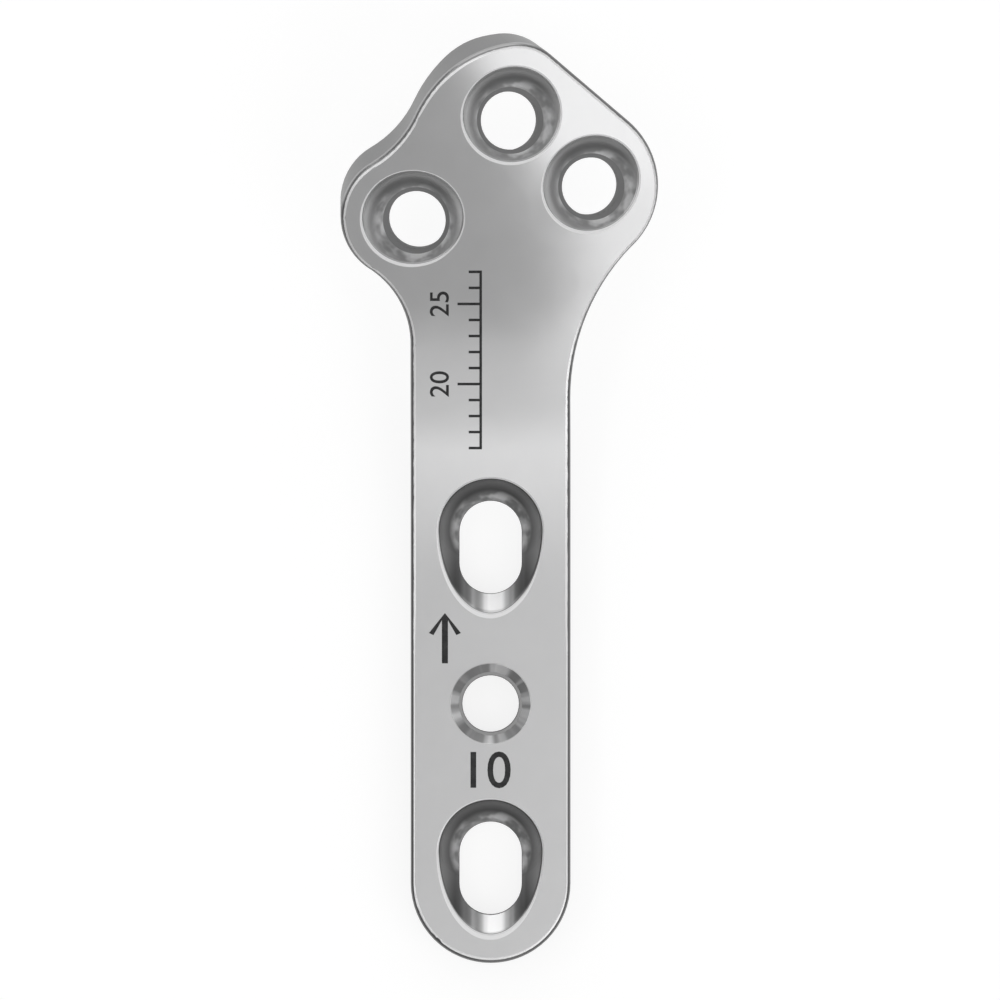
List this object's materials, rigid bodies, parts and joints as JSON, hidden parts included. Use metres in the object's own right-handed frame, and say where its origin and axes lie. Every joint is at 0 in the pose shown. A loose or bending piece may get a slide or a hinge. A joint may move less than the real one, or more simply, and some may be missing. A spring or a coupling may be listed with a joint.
{
  "type": "orthopedic bone plate",
  "caption": "Small contoured bone plate: a straight flat shaft with long compression holes and a bent three-lobed head with ball-seated screw holes.",
  "frame": {"origin": "on the axis of the shaft's round hole, at the flat underside of the shaft", "axes": "+Y along the shaft toward the head, +Z out of the bone, away from the underside, +X across the plate"},
  "size_m": [0.0199, 0.0581, 0.0124],
  "materials": {
    "bone_plate": "fine satin polish on implant steel, with brighter rounded edges and turned seats"
  },
  "bodies": {
    "root": {"bone_plate": "bone_plate"}
  },
  "joints": []
}
